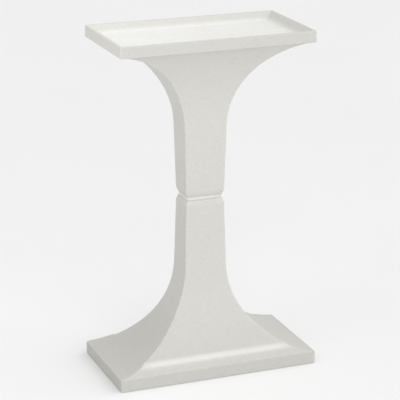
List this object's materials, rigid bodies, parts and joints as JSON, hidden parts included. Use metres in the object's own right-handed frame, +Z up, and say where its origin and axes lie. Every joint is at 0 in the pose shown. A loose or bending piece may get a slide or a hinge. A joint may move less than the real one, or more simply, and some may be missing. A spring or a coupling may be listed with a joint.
{
  "type": "pedestal bird bath",
  "caption": "Pedestal bird bath in pale cast stone: a shallow oblong basin on a waisted, flared stem that stands on an oblong plinth.",
  "frame": {"origin": "middle of the plinth's underside, on the ground", "axes": "+Z up the stem, +X along the length of the basin and the plinth, +Y across them towards the back"},
  "size_m": [0.46, 0.244, 0.76],
  "materials": {
    "cast_stone": "matt, fine sandy grain",
    "mortar": "matt, tooled smooth",
    "grout": "matt",
    "stainless_steel": "drawn bar",
    "galvanised_wire": "dull zinc",
    "bar_steel": "mill scale with light rust"
  },
  "bodies": {
    "root": {"upper_casting": "cast_stone", "lower_casting": "cast_stone", "mortar_bed": "mortar", "dowel": "stainless_steel", "upper_grout": "grout", "lower_grout": "grout", "basin_mesh": "galvanised_wire", "plinth_mesh": "galvanised_wire", "upper_bar_1": "bar_steel", "upper_bar_2": "bar_steel", "upper_bar_3": "bar_steel", "upper_bar_4": "bar_steel", "lower_bar_1": "bar_steel", "lower_bar_2": "bar_steel", "lower_bar_3": "bar_steel", "lower_bar_4": "bar_steel", "upper_link_1": "bar_steel", "upper_link_2": "bar_steel", "upper_link_3": "bar_steel", "lower_link_1": "bar_steel", "lower_link_2": "bar_steel", "lower_link_3": "bar_steel"}
  },
  "joints": []
}
